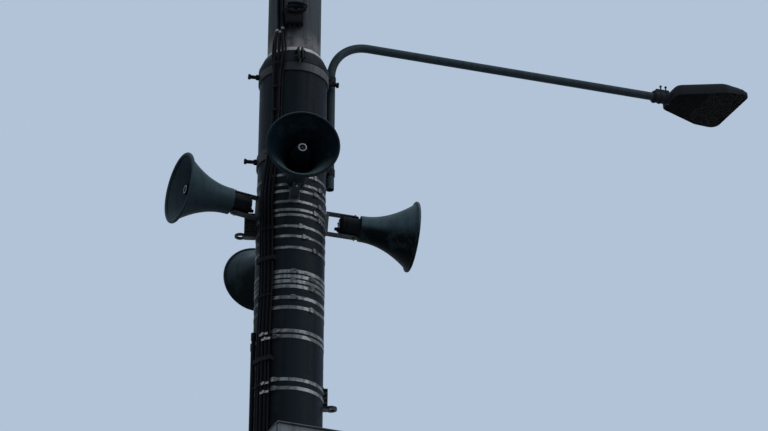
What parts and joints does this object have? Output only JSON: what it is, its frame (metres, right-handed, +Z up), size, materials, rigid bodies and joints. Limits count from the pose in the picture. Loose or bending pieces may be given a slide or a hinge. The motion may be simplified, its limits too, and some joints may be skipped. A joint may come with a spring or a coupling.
{
  "type": "warning siren pole",
  "caption": "Stepped steel pole with horn loudspeakers on clamped stirrups, a lamp arm and a control cabinet, bolted down at its base flange.",
  "frame": {"origin": "centre of the base flange's underside, on the pole's axis at ground level", "axes": "+Z up along the pole, +X towards the lamp arm's side, -Y towards the front horn"},
  "size_m": [3.399, 1.8932, 11.2],
  "materials": {
    "base_steel": "matt paint",
    "lower_paint": "weathered dark paint",
    "upper_paint": "chalky grey paint",
    "bright_steel": "zinc coated",
    "dark_steel": "dark paint",
    "galvanised": "dull zinc",
    "arm_paint": "weathered paint",
    "lamp_paint": "powder coat",
    "lamp_dark": "powder coat",
    "lamp_glass": "clear",
    "led_board": "matt",
    "horn_paint": "satin grey-green paint",
    "horn_inner": "satin paint",
    "driver_dark": "satin paint",
    "yoke_steel": "painted strap",
    "band_steel": "bright strap",
    "cast_alloy": "rough cast",
    "cable_black": "matt",
    "box_black": "matt",
    "cabinet_grey": "smooth grey paint"
  },
  "bodies": {
    "root": {"base_flange": "base_steel", "lower_tube": "lower_paint", "step_ring": "bright_steel", "upper_tube": "upper_paint", "pole_cap": "upper_paint", "step_collar": "dark_steel", "collar_strap": "galvanised", "arm_clamp": "galvanised", "clamp_bolts": "dark_steel", "arm_saddles": "dark_steel", "arm_caps": "dark_steel", "lamp_arm": "arm_paint", "lamp_spigot": "lamp_paint", "lamp_housing": "lamp_paint", "lamp_door": "lamp_dark", "lamp_glass": "lamp_glass", "lamp_board": "led_board", "front_yoke": "yoke_steel", "left_yoke": "yoke_steel", "right_yoke": "yoke_steel", "rear_yoke": "yoke_steel", "horn_bands": "band_steel", "lower_bands": "band_steel", "left_anchor": "cast_alloy", "right_anchor": "cast_alloy", "cable_riser": "cable_black", "riser_cleats": "dark_steel", "riser_hood": "galvanised", "conduits": "cable_black", "cable_guard": "galvanised", "junction_box": "box_black", "cabinet_body": "cabinet_grey", "cabinet_door": "cabinet_grey", "cabinet_feet": "galvanised"},
    "front_horn": {"front_bell": "horn_paint", "front_reflector": "horn_inner", "front_driver": "driver_dark"},
    "left_horn": {"left_bell": "horn_paint", "left_reflector": "horn_inner", "left_driver": "driver_dark"},
    "right_horn": {"right_bell": "horn_paint", "right_reflector": "horn_inner", "right_driver": "driver_dark"},
    "rear_horn": {"rear_bell": "horn_paint", "rear_reflector": "horn_inner", "rear_driver": "driver_dark"}
  },
  "joints": [
    {"name": "front_horn_turn", "type": "hinge", "parent": "root", "child": "front_horn", "pos_m": [0.02926, -0.34125, 8.948], "axis": [0, 0, 1], "range_deg": [-25, 25]},
    {"name": "left_horn_turn", "type": "hinge", "parent": "root", "child": "left_horn", "pos_m": [-0.30547, -0.13601, 8.87286], "axis": [0.0367, 0.0163, 0.9992], "range_deg": [-25, 25]},
    {"name": "right_horn_turn", "type": "hinge", "parent": "root", "child": "right_horn", "pos_m": [0.34881, 0.0615, 8.83487], "axis": [0.0601, 0.0106, 0.9981], "range_deg": [-25, 25]},
    {"name": "rear_horn_turn", "type": "hinge", "parent": "root", "child": "rear_horn", "pos_m": [-0.09441, 0.32923, 8.796], "axis": [0, 0, 1], "range_deg": [-25, 25]}
  ]
}
